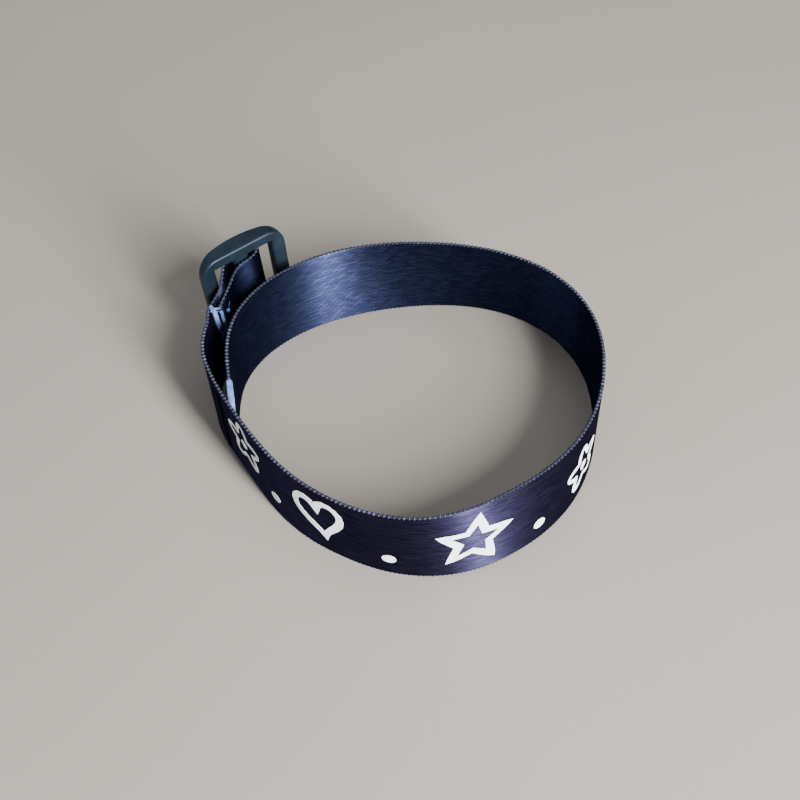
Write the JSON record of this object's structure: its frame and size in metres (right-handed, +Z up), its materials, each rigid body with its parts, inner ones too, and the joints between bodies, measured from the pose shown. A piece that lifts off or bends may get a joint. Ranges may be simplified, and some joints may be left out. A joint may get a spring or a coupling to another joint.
{
  "type": "fabric wristband",
  "caption": "Narrow woven ribbon joined into a wrist-size loop, its doubled end led round the middle bar of a small plastic slider and held by thread bar tacks.",
  "frame": {"origin": "on the surface that the band stands on, under the middle of its box", "axes": "+Z up the ribbon's width, +X along the loop's longer way, the slider at -X and +Y"},
  "size_m": [0.0597, 0.0516, 0.021],
  "materials": {
    "ribbon": "satin",
    "slider": "matt",
    "thread": "soft"
  },
  "bodies": {
    "root": {"ribbon": "ribbon", "slider": "slider", "buckle_tack": "thread", "join_tack": "thread"}
  },
  "joints": []
}
